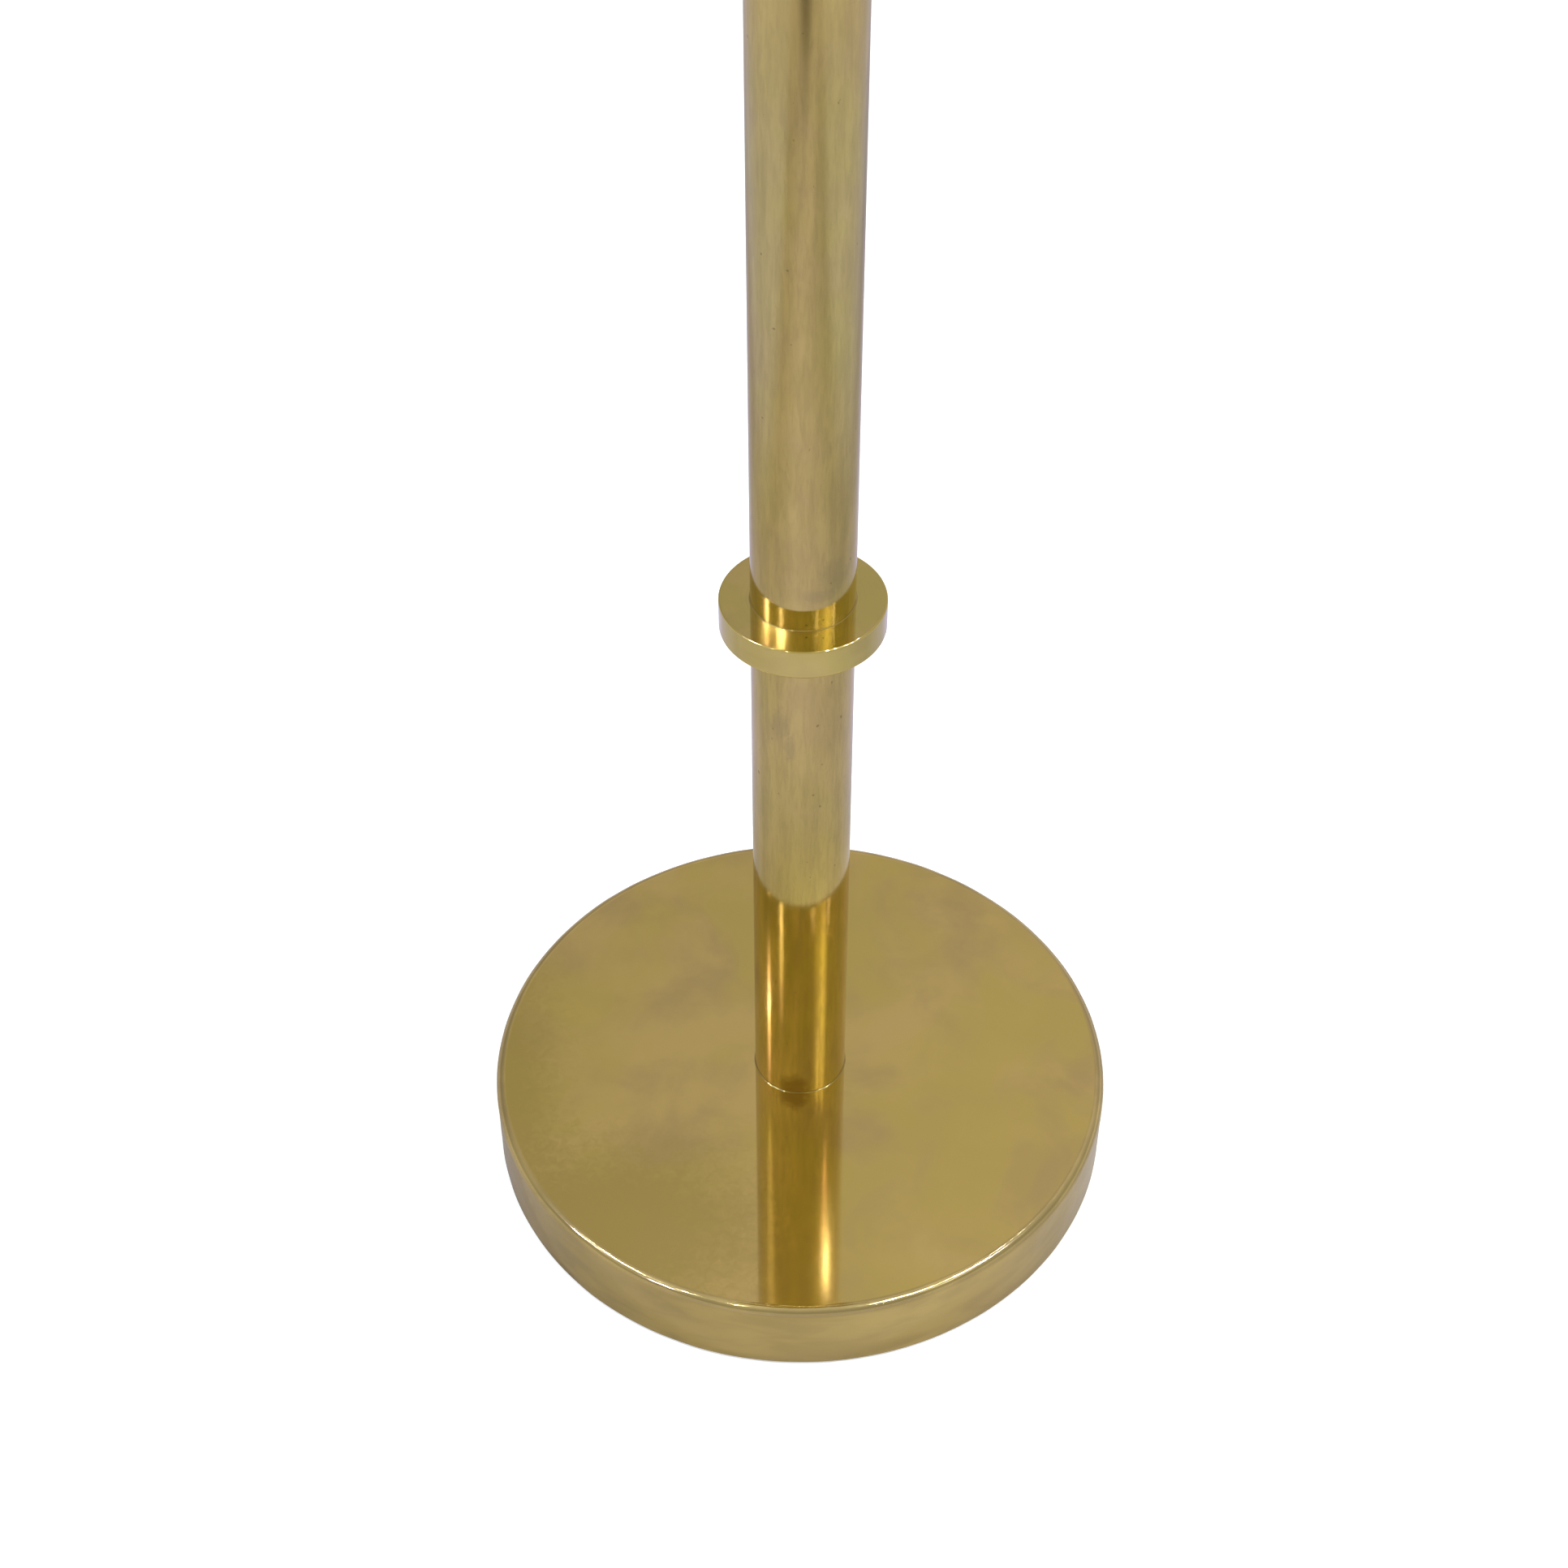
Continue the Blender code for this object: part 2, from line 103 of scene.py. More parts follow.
# ---- shapes ------------------------------------------------------------------------------------


def rounded(outline):
    """Turn corners (radius, height, rounding) into points, with an arc at each rounded one.

    A guard point just beyond each end of an arc keeps the flat beside it flat in the shading.
    """
    points = []
    last = len(outline) - 1
    for index, (r, z, rounding) in enumerate(outline):
        if not rounding:
            points.append((r, z))
            continue
        before = outline[index - 1]
        after = outline[0 if index == last else index + 1]
        to_before = math.atan2(before[1] - z, before[0] - r)
        to_after = math.atan2(after[1] - z, after[0] - r)
        turn = (to_after - to_before + math.pi) % math.tau - math.pi
        middle = to_before + turn / 2
        center_distance = rounding / abs(math.sin(turn / 2))
        center_r = r + center_distance * math.cos(middle)
        center_z = z + center_distance * math.sin(middle)
        reach = rounding / abs(math.tan(turn / 2))
        start = math.atan2(z + reach * math.sin(to_before) - center_z,
                           r + reach * math.cos(to_before) - center_r)
        end = math.atan2(z + reach * math.sin(to_after) - center_z,
                         r + reach * math.cos(to_after) - center_r)
        sweep = (end - start + math.pi) % math.tau - math.pi
        guard = reach + rounding * ARC_GUARD
        points.append((r + guard * math.cos(to_before), z + guard * math.sin(to_before)))
        for step in range(ARC_STEPS + 1):
            angle = start + sweep * step / ARC_STEPS
            points.append((center_r + rounding * math.cos(angle),
                           center_z + rounding * math.sin(angle)))
        points.append((r + guard * math.cos(to_after), z + guard * math.sin(to_after)))
    return points


def thickened(line, thickness):
    """A closed outline: an open line of (radius, height, rounding) corners and its parallel.

    The parallel lies to the right of the line's direction.
    """
    parallel = []
    for index, (r, z, rounding) in enumerate(line):
        steps = []
        for first, second in ((index - 1, index), (index, index + 1)):
            if first < 0 or second >= len(line):
                continue
            dr, dz = line[second][0] - line[first][0], line[second][1] - line[first][1]
            length = math.hypot(dr, dz)
            steps.append((dr / length, dz / length))
        normals = [(dz, -dr) for dr, dz in steps]
        sum_r = sum(normal[0] for normal in normals)
        sum_z = sum(normal[1] for normal in normals)
        share = thickness * len(normals) / (sum_r ** 2 + sum_z ** 2)
        if len(steps) == 2 and rounding:
            turns_left = steps[0][0] * steps[1][1] - steps[0][1] * steps[1][0] > 0
            rounding = rounding + thickness if turns_left else max(rounding - thickness, 0.0)
        parallel.append((r + sum_r * share, z + sum_z * share, rounding))
    lip = thickness * SHEET_LIP
    ends = {0, len(line) - 1}
    near = [(r, z, lip if i in ends else rounding) for i, (r, z, rounding) in enumerate(line)]
    far = [(r, z, lip if i in ends else rounding) for i, (r, z, rounding) in enumerate(parallel)]
    return near + far[::-1]


def subdivided(points, longest, closed):
    """Add points along runs that are longer than `longest`."""
    result = []
    count = len(points) if closed else len(points) - 1
    for index in range(count):
        r0, z0 = points[index]
        r1, z1 = points[(index + 1) % len(points)]
        pieces = max(1, math.ceil(math.hypot(r1 - r0, z1 - z0) / longest))
        for step in range(pieces):
            t = step / pieces
            result.append((r0 + (r1 - r0) * t, z0 + (z1 - z0) * t))
    if not closed:
        result.append(points[-1])
    return result


def turned(name, outline, segments, longest, closed=True, wobble=None):
    """A turned piece from (radius, height, rounding) corners.

    A closed outline stays off the axis; an open one starts and ends on it. Straight runs are cut
    into steps no longer than `longest`. `wobble` is a function of (angle, radius, height) that
    gives a small shift of the surface point in radius and height.
    """
    points = subdivided(rounded(outline), longest, closed)
    verts, rings = [], []
    for r, z in points:
        if r < 1e-9:
            rings.append([len(verts)])
            verts.append((0.0, 0.0, z))
            continue
        ring = []
        for step in range(segments):
            angle = math.tau * step / segments
            dr, dz = wobble(angle, r, z) if wobble else (0.0, 0.0)
            ring.append(len(verts))
            verts.append(((r + dr) * math.cos(angle), (r + dr) * math.sin(angle), z + dz))
        rings.append(ring)
    faces = []
    pairs = list(zip(rings, rings[1:]))
    if closed:
        pairs.append((rings[-1], rings[0]))
    for low, high in pairs:
        for step in range(segments):
            after = (step + 1) % segments
            corners = [low[step % len(low)], low[after % len(low)],
                       high[after % len(high)], high[step % len(high)]]
            faces.append(list(dict.fromkeys(corners)))
    mesh = bpy.data.meshes.new(name)
    mesh.from_pydata(verts, [], faces)
    shape = bmesh.new()
    shape.from_mesh(mesh)
    bmesh.ops.recalc_face_normals(shape, faces=shape.faces)
    shape.to_mesh(mesh)
    shape.free()
    mesh.shade_smooth()
    mesh.set_sharp_from_angle(angle=SHARP_ANGLE)
    piece = bpy.data.objects.new(name, mesh)
    bpy.context.scene.collection.objects.link(piece)
    return piece


def stand_for(piece, node, material):
    """Let a new piece replace its CAD node and take that node's finish."""
    piece.data.materials.append(material)
    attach(piece, "root")
    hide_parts(node)


# ---- materials ---------------------------------------------------------------------------------


class Nodes:
    """A short way to write a material's nodes."""

    def __init__(self, name):
        self.material = bpy.data.materials.new(name)
        self.material.use_nodes = True
        self.tree = self.material.node_tree
        self.shader = self.tree.nodes["Principled BSDF"]
        self.coords = self.add("ShaderNodeTexCoord").outputs["Object"]

    def add(self, kind, **settings):
        node = self.tree.nodes.new(kind)
        for key, value in settings.items():
            setattr(node, key, value)
        return node

    def link(self, output, socket):
        self.tree.links.new(output, socket)

    def stretched(self, scale):
        """The object's coordinates, scaled along each axis."""
        mapping = self.add("ShaderNodeMapping")
        mapping.inputs["Scale"].default_value = scale
        self.link(self.coords, mapping.inputs["Vector"])
        return mapping.outputs["Vector"]

    def noise(self, vector, scale, detail=3.0, roughness=0.5, distortion=0.0):
        node = self.add("ShaderNodeTexNoise")
        node.inputs["Scale"].default_value = scale
        node.inputs["Detail"].default_value = detail
        node.inputs["Roughness"].default_value = roughness
        node.inputs["Distortion"].default_value = distortion
        self.link(vector, node.inputs["Vector"])
        return node.outputs["Fac"]

    def ramp(self, fac, low, high, to_low=0.0, to_high=1.0):
        """Map low..high to to_low..to_high with soft ends."""
        node = self.add("ShaderNodeMapRange", interpolation_type="SMOOTHSTEP")
        node.inputs["From Min"].default_value = low
        node.inputs["From Max"].default_value = high
        node.inputs["To Min"].default_value = to_low
        node.inputs["To Max"].default_value = to_high
        self.link(fac, node.inputs["Value"])
        return node.outputs["Result"]

    def math(self, operation, a, b):
        node = self.add("ShaderNodeMath", operation=operation)
        for socket, value in zip(node.inputs, (a, b)):
            if isinstance(value, (int, float)):
                socket.default_value = value
            else:
                self.link(value, socket)
        return node.outputs["Value"]

    def mix(self, fac, a, b):
        """Mix two colours; each is a colour or a node's output."""
        node = self.add("ShaderNodeMix", data_type="RGBA")
        self.link(fac, node.inputs["Factor"])
        for name, value in (("A", a), ("B", b)):
            socket = [s for s in node.inputs if s.name == name and s.type == "RGBA"][0]
            if isinstance(value, tuple):
                socket.default_value = (*value, 1.0)
            else:
                self.link(value, socket)
        return [s for s in node.outputs if s.type == "RGBA"][0]

    def bump(self, height, distance, normal=None):
        node = self.add("ShaderNodeBump")
        node.inputs["Distance"].default_value = distance
        self.link(height, node.inputs["Height"])
        if normal:
            self.link(normal, node.inputs["Normal"])
        return node.outputs["Normal"]

    def radius(self):
        """The distance from the Z axis."""
        flat = self.stretched((1.0, 1.0, 0.0))
        node = self.add("ShaderNodeVectorMath", operation="LENGTH")
        self.link(flat, node.inputs[0])
        return node.outputs["Value"]

    def height(self):
        node = self.add("ShaderNodeSeparateXYZ")
        self.link(self.coords, node.inputs["Vector"])
        return node.outputs["Z"]

    def spot(self, center, size, ragged=0.5):
        """A soft ragged patch, 1 in the middle, at a place on the surface."""
        mapping = self.add("ShaderNodeMapping")
        mapping.inputs["Scale"].default_value = [1.0 / s for s in size]
        mapping.inputs["Location"].default_value = [-c / s for c, s in zip(center, size)]
        self.link(self.coords, mapping.inputs["Vector"])
        far = self.add("ShaderNodeVectorMath", operation="LENGTH")
        self.link(mapping.outputs["Vector"], far.inputs[0])
        torn = self.noise(self.coords, 420.0, detail=3.0, distortion=0.8)
        edge = self.math("ADD", far.outputs["Value"], self.math("MULTIPLY", torn, ragged * 2))
        return self.ramp(edge, ragged + 0.35, ragged + 1.1, 1.0, 0.0)


GRIME = (0.36, 0.29, 0.12)
SPECK = (0.20, 0.14, 0.06)
CREVICE_TARNISH_AND_SHADE = (0.30, 0.20, 0.03)          # brown tarnish and painted shade in the corner where a tube stands on a flat face
WEAR = (0.43, 0.335, 0.105)           # the darker streaks along the tubes
DARK_LEFT_EDGE = (0.46, 0.36, 0.072)
DIM_PATCH = (0.50, 0.390, 0.088)
SMUDGES = [  # place and size of the finger marks on the tubes
    ((-0.0052, -0.0114, 0.1605), (0.0030, 0.0060, 0.0075)),
    ((-0.0030, -0.0121, 0.1530), (0.0018, 0.0060, 0.0050)),
    ((0.0070, -0.0104, 0.2060), (0.0050, 0.0060, 0.0060)),
    ((0.0040, -0.0118, 0.2010), (0.0060, 0.0060, 0.0025)),
    ((0.0040, 0.0118, 0.3000), (0.0060, 0.0060, 0.0120)),
]

# bump distances
RIPPLE = 0.000003
DENT = 0.00012
SCUFF = 0.0000015
STROKE = 0.000006
RING_GROOVE = 0.0000001
PAN_GROOVE = 0.000003
FELT_NAP = 0.0004
CASTING = 0.0004
MACHINING = 0.00004


def lacquered_metal(n, weight):
    """Bare metal under a thin clear coat."""
    n.shader.inputs["Metallic"].default_value = 1.0
    n.shader.inputs["Coat Weight"].default_value = weight
    n.shader.inputs["Coat Roughness"].default_value = 0.05
    n.shader.inputs["Coat IOR"].default_value = 1.5


def mottled(n, clean, dull, olive, scale):
    """Brass colour with soft clouds of tarnish and of a greener tone."""
    patches = n.noise(n.coords, scale, detail=4.0, roughness=0.55, distortion=0.4)
    clouds = n.noise(n.stretched((1.0, 1.3, 1.0)), scale * 0.4, detail=2.0)
    tint = n.noise(n.stretched((1.2, 1.0, 1.1)), scale * 0.55, detail=3.0, distortion=0.6)
    tarnish = n.ramp(n.math("ADD", n.math("MULTIPLY", patches, 0.55),
                            n.math("MULTIPLY", clouds, 0.45)), 0.40, 0.62)
    color = n.mix(tarnish, clean, dull)
    return n.mix(n.ramp(tint, 0.38, 0.66, 0.0, 0.80), color, olive), tarnish


def pitted(n, color):
    """Tiny dark pits, far apart."""
    pits = n.noise(n.coords, 520.0, detail=1.0)
    return n.mix(n.ramp(pits, 0.76, 0.80, 0.0, 0.55), color, SPECK)


def marked(n, color, center, size, ragged, strength, tone):
    """Tone one ragged spot of the surface."""
    spot = n.spot(center, size, ragged)
    return n.mix(n.math("MULTIPLY", spot, strength), color, tone)


def paler_outside(n, color, start, pale, dull):
    """Leave the turned outer side of a piece paler than its faces, as a painted pale reflection;
    give the mask back too.
    """
    outside = n.ramp(n.radius(), start, start + 0.0008)
    blotch = n.noise(n.stretched((40.0, 40.0, 130.0)), 1.0, detail=3.0, distortion=0.5)
    return n.mix(outside, color, n.mix(n.ramp(blotch, 0.36, 0.64), pale, dull)), outside


def base_brass():
    """The base: a soft mirror, darker at its left edge, with a dim patch, and a duller side that
    is painted paler.
    """
    n = Nodes("base_brass")
    lacquered_metal(n, 0.3)
    color, tarnish = mottled(n, (0.682, 0.515, 0.145), (0.562, 0.420, 0.134),
                             (0.635, 0.505, 0.105), 46.0)
    # darker towards the base's left edge
    color = marked(n, color, (-0.086, -0.030, 0.0225), (0.026, 0.085, 0.02), 0.25, 0.65, DARK_LEFT_EDGE)
    color = marked(n, color, (-0.048, -0.058, 0.0225), (0.050, 0.036, 0.02), 0.35, 0.8, DIM_PATCH)
    scuffs = n.noise(n.coords, 130.0, detail=5.0, roughness=0.7, distortion=1.6)
    edge_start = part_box("base_cover")[1].x - BASE_EDGE_ROUND
    # painted pale reflection on the outer side and the rounded top edge of the base
    color, flank = paler_outside(n, color, edge_start - 0.0004, (0.635, 0.500, 0.165),
                                 (0.520, 0.410, 0.140))
    n.link(color, n.shader.inputs["Base Color"])
    polish = n.ramp(tarnish, 0.0, 1.0, 0.040, 0.065)
    rubbed = n.ramp(scuffs, 0.55, 0.75, 0.0, 0.025)
    n.link(n.math("ADD", n.math("ADD", polish, rubbed), n.math("MULTIPLY", flank, 0.05)),
           n.shader.inputs["Roughness"])
    ripple = n.bump(n.noise(n.coords, 55.0, detail=1.0), RIPPLE)
    dents = n.noise(n.coords, 170.0, detail=1.0)
    ripple = n.bump(n.math("MULTIPLY", dents, flank), DENT, normal=ripple)
    n.link(n.bump(scuffs, SCUFF, normal=ripple), n.shader.inputs["Normal"])
    return n.material


def tube_brass():
    """The tubes: polished along their length, with streaks, finger marks and small pits."""
    n = Nodes("tube_brass")
    lacquered_metal(n, 0.12)
    color, tarnish = mottled(n, (0.680, 0.530, 0.160), (0.600, 0.460, 0.150),
                             (0.625, 0.505, 0.132), 75.0)
    broad = n.noise(n.stretched((230.0, 230.0, 12.0)), 1.0, detail=3.0, distortion=0.3)
    strokes = n.noise(n.stretched((620.0, 620.0, 75.0)), 1.0, detail=5.0, roughness=0.62,
                      distortion=0.5)
    fine = n.noise(n.stretched((1500.0, 1500.0, 260.0)), 1.0, detail=3.0, roughness=0.65)
    for streaks, low, high, share in ((broad, 0.40, 0.68, 0.30), (strokes, 0.42, 0.62, 0.30),
                                      (fine, 0.45, 0.70, 0.25)):
        color = n.mix(n.ramp(streaks, low, high, 0.0, share), color, WEAR)
    # painted shade in the corner at the front of the lower tube's foot, in the brown crevice
    # colour
    painted_foot_shade = (-0.0015, -0.0122, 0.0245)
    color = marked(n, color, painted_foot_shade, (0.0050, 0.0060, 0.0070), 0.3, 0.8, CREVICE_TARNISH_AND_SHADE)
    for center, size in SMUDGES:
        color = marked(n, color, center, size, 0.6, 0.35, GRIME)
    color = pitted(n, color)
    polish = n.math("ADD", n.ramp(tarnish, 0.0, 1.0, 0.105, 0.120),
                    n.ramp(fine, 0.3, 0.7, -0.01, 0.01))
    for node in ("lower_tube", "upper_tube"):
        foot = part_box(node)[0].z - JOINT_GAP
        # painted shade, with some brown tarnish, darkens the corner at each tube's foot
        crevice = n.math("MULTIPLY", n.ramp(n.height(), foot - 0.001, foot),
                         n.ramp(n.height(), foot + SOLDER * 0.6, foot + SOLDER * 1.6, 1.0, 0.0))
        color = n.mix(n.math("MULTIPLY", crevice, 0.5), color, CREVICE_TARNISH_AND_SHADE)
        polish = n.math("SUBTRACT", polish, n.math("MULTIPLY", crevice, 0.02))
    n.link(color, n.shader.inputs["Base Color"])
    n.link(polish, n.shader.inputs["Roughness"])
    n.shader.inputs["Anisotropic"].default_value = 1.0
    around = n.add("ShaderNodeTangent", direction_type="RADIAL", axis="Z")
    n.link(around.outputs["Tangent"], n.shader.inputs["Tangent"])
    n.link(n.bump(fine, STROKE), n.shader.inputs["Normal"])
    return n.material


def turned_finish(name, tones, scale, low, high, groove, side=None):
    """A piece finished on a lathe: very fine rings about the axis.

    `tones` are its clean, dull and olive colours; low and high are its roughness where it is clean
    and dull. It is paler outside the radius `side`.
    """
    n = Nodes(name)
    lacquered_metal(n, 0.4)
    color, tarnish = mottled(n, *tones, scale)
    ring = n.add("ShaderNodeCombineXYZ")
    n.link(n.math("MULTIPLY", n.radius(), 2600.0), ring.inputs["X"])
    n.link(n.math("MULTIPLY", n.height(), 2600.0), ring.inputs["Y"])
    rings = n.noise(ring.outputs["Vector"], 1.0, detail=3.0)
    color = n.mix(n.ramp(rings, 0.5, 0.8, 0.0, 0.2), color, GRIME)
    if side:
        # painted pale reflection on the outer side
        color, _ = paler_outside(n, color, side, (0.750, 0.630, 0.160), (0.650, 0.540, 0.138))
    n.link(color, n.shader.inputs["Base Color"])
    n.link(n.ramp(tarnish, 0.0, 1.0, low, high), n.shader.inputs["Roughness"])
    n.link(n.bump(rings, groove), n.shader.inputs["Normal"])
    return n.material


def ring_brass():
    tones = ((0.670, 0.525, 0.140), (0.590, 0.465, 0.130), (0.615, 0.515, 0.110))
    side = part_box("stem_collar")[1].x - COLLAR_EDGE_ROUND
    return turned_finish("ring_brass", tones, 110.0, 0.060, 0.075, RING_GROOVE, side)


def pan_brass():
    tones = ((0.645, 0.508, 0.115), (0.555, 0.435, 0.105), (0.595, 0.500, 0.085))
    return turned_finish("pan_brass", tones, 60.0, 0.10, 0.15, PAN_GROOVE)


def felt_material():
    n = Nodes("felt")
    fibres = n.noise(n.stretched((1.0, 1.0, 0.4)), 1400.0, detail=6.0, roughness=0.7,
                     distortion=1.5)
    clumps = n.noise(n.coords, 220.0, detail=3.0)
    shade = n.math("ADD", n.math("MULTIPLY", fibres, 0.6), n.math("MULTIPLY", clumps, 0.4))
    n.link(n.mix(n.ramp(shade, 0.3, 0.7), (0.018, 0.05, 0.03), (0.06, 0.13, 0.08)),
           n.shader.inputs["Base Color"])
    n.shader.inputs["Roughness"].default_value = 0.95
    n.shader.inputs["Sheen Weight"].default_value = 0.4
    n.link(n.bump(shade, FELT_NAP), n.shader.inputs["Normal"])
    return n.material


def plain_metal(name, low_color, high_color, scale, roughness, distance):
    """A carried-over inner piece: mottled metal with a little surface texture."""
    n = Nodes(name)
    mottle = n.noise(n.coords, scale, detail=5.0, roughness=0.6)
    n.link(n.mix(n.ramp(mottle, 0.35, 0.65), low_color, high_color), n.shader.inputs["Base Color"])
    gloss = n.ramp(mottle, 0.3, 0.7, roughness - 0.08, roughness + 0.1)
    n.link(gloss, n.shader.inputs["Roughness"])
    n.shader.inputs["Metallic"].default_value = 1.0
    n.link(n.bump(mottle, distance), n.shader.inputs["Normal"])
    return n.material


# ---- visible pieces ----------------------------------------------------------------------------


def edge_wobble(angle, r, z):
    """The small waves that hand polishing leaves along the base's rim; the top stays flat."""
    share = min(1.0, max(0.0, (r - BASE_WAVE_START) / BASE_WAVE_RUN))
    point = Vector((math.cos(angle), math.sin(angle), z * 25.0))
    slow = noise.noise(point * 3.1)
    quick = noise.noise(point * 10.0 + Vector((5.0, 0.0, 0.0)))
    return share * (BASE_WAVE * slow + BASE_WAVE * quick), share * BASE_WAVE_RISE * quick


def make_base_cover(material):
    low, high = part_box("base_cover")
    radius, rim, top = high.x, low.z, high.z
    bore = radius - BASE_WALL
    outline = [
        (BASE_HOLE, top, BORE_BREAK),
        (radius, top, BASE_EDGE_ROUND),
        (radius, rim, BASE_RIM_BREAK),
        (bore, rim, BORE_BREAK),
        (bore, top - BASE_WALL, BASE_INNER_ROUND),
        (BASE_HOLE, top - BASE_WALL, BORE_BREAK),
    ]
    piece = turned("brass_base", outline, WIDE_SEGMENTS, longest=0.003, wobble=edge_wobble)
    stand_for(piece, "base_cover", material)


def make_tube(name, node, material):
    """A tube that fills its joints: it flares into a little solder fillet at its foot."""
    low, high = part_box(node)
    radius = high.x
    bore = radius - TUBE_WALL
    foot, head = low.z - JOINT_GAP, high.z + JOINT_GAP
    outline = [
        (bore, foot, 0.0),
        (radius + SOLDER, foot, 0.0),
        (radius, foot, SOLDER),
        (radius, head, 0.0),
        (bore, head, 0.0),
    ]
    piece = turned(name, outline, STEM_SEGMENTS, longest=0.01)
    stand_for(piece, node, material)


def make_collar(name, node, material):
    low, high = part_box(node)
    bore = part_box("lower_tube")[1].x - TUBE_WALL
    outline = [
        (bore, low.z, BORE_BREAK),
        (high.x, low.z, COLLAR_EDGE_ROUND),
        (high.x, high.z, COLLAR_EDGE_ROUND),
        (bore, high.z, BORE_BREAK),
    ]
    piece = turned(name, outline, STEM_SEGMENTS, longest=0.002)
    stand_for(piece, node, material)


def make_felt(material):
    """The felt disc: its underside stays level, its skin is a little uneven."""
    low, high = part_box("felt_pad")
    outline = [(0.0, low.z, 0.0), (high.x, low.z, FELT_EDGE_ROUND),
               (high.x, high.z, FELT_EDGE_ROUND), (0.0, high.z, 0.0)]

    def fuzz(angle, r, z):
        point = Vector((r * math.cos(angle), r * math.sin(angle), z)) * FELT_FUZZ_FINENESS
        rise = FELT_FUZZ * noise.noise(point)
        return (rise if r > high.x - FELT_EDGE_ROUND else 0.0), (abs(rise) if z <= low.z else 0.0)

    piece = turned("felt_disc", outline, STEM_SEGMENTS, closed=False, longest=0.002, wobble=fuzz)
    stand_for(piece, "felt_pad", material)


def pan_wobble(angle, r, z):
    """The sheet isn't quite flat after spinning."""
    point = Vector((math.cos(angle), math.sin(angle), 0.0)) * (r * 40.0)
    share = min(1.0, max(0.0, (r - PAN_BOSS_FOOT) / PAN_WAVE_RUN))
    return 0.0, PAN_WAVE * noise.noise(point) * share


def make_drip_pan(material):
    low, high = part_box("drip_pan")
    floor = low.z + PAN_SHEET
    surface = [
        (PAN_HOLE, floor + PAN_BOSS_HEIGHT, 0.0),
        (PAN_BOSS_TOP, floor + PAN_BOSS_HEIGHT, PAN_BOSS_ROUND),
        (PAN_BOSS_FOOT, floor, PAN_BOSS_ROUND),
        (PAN_FLOOR_RADIUS, floor, PAN_CORNER_ROUND),
        (PAN_MOUTH_RADIUS, high.z, 0.0),
    ]
    outline = thickened(surface, PAN_SHEET)
    piece = turned("pan", outline, WIDE_SEGMENTS, longest=0.002, wobble=pan_wobble)
    stand_for(piece, "drip_pan", material)


def make_candle_spike(material):
    low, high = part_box("candle_spike")
    flange = high.x
    root = low.z + SPIKE_FLANGE_HEIGHT
    outline = [
        (0.0, low.z + SPIKE_BORE_DEPTH, 0.0),
        (ROD_HOLE, low.z + SPIKE_BORE_DEPTH, 0.0),
        (ROD_HOLE, low.z, BORE_BREAK),
        (flange, low.z, COLLAR_EDGE_ROUND),
        (flange, root, COLLAR_EDGE_ROUND * 2),
        (SPIKE_ROOT, root, SPIKE_ROOT_ROUND),
        (SPIKE_TIP, high.z, SPIKE_TIP / 2),
        (0.0, high.z, 0.0),
    ]
    piece = turned("spike", outline, STEM_SEGMENTS, closed=False, longest=0.003)
    stand_for(piece, "candle_spike", material)


def make_pan_washer(material):
    low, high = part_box("pan_washer")
    edge = (high.z - low.z) * 0.3
    outline = [
        (ROD_HOLE, low.z, BORE_BREAK / 2),
        (high.x, low.z, edge),
        (high.x, high.z, edge),
        (ROD_HOLE, high.z, BORE_BREAK / 2),
    ]
    piece = turned("washer_under_spike", outline, STEM_SEGMENTS, longest=0.002)
    stand_for(piece, "pan_washer", material)


def finish_inner_pieces():
    """The pieces inside keep their CAD meshes and get worked finishes."""
    by_slot = {
        "cast_iron": plain_metal("cast_iron", (0.045, 0.045, 0.05), (0.12, 0.115, 0.11),
                                 320.0, 0.72, CASTING),
        "zinc_steel": plain_metal("zinc_steel", (0.42, 0.43, 0.46), (0.60, 0.61, 0.62),
                                  260.0, 0.36, MACHINING),
        "turned_brass": plain_metal("inner_brass", (0.52, 0.38, 0.15), (0.66, 0.50, 0.22),
                                    180.0, 0.30, MACHINING),
    }
    for entry in frame["record"]["subparts"]:
        node = frame["nodes"][entry["node"]]
        if node.hide_render:
            continue
        for place in node.material_slots:
            place.material = by_slot[entry["material_slot"]]


# ---- stage, lights and camera ------------------------------------------------------------------


def aim(light, target):
    """Turn a light so that it shines at a point."""
    light.rotation_mode = "QUATERNION"
    light.rotation_quaternion = (Vector(target) - light.location).to_track_quat("-Z", "Y")


FLOOR_HALF = 6.0
FLOOR_SEEN = (0.78, 0.79, 0.52)       # to the camera, with FLOOR_LIFT added
FLOOR_LIFT = (0.42, 0.42, 0.43)
# the tones below are painted light and shade on the floor, which only the metal mirrors
FLOOR_LEFT = (0.43, 0.39, 0.30)
FLOOR_RIGHT = (0.38, 0.355, 0.295)
FLOOR_SIDE = (0.53, 0.52, 0.50)
FLOOR_RIM = (0.54, 0.480, 0.325)
FLOOR_NEAR = (0.525, 0.475, 0.445)
FLOOR_FAR = (0.73, 0.64, 0.62)
FLOOR_SHADE = (0.10, 0.085, 0.04)
SHADOW_PLACE = (-0.02, -0.76, 0.0)
SHADOW_INNER = 0.05
SHADOW_OUTER = 0.24
SHADOW_STRENGTH = 0.72


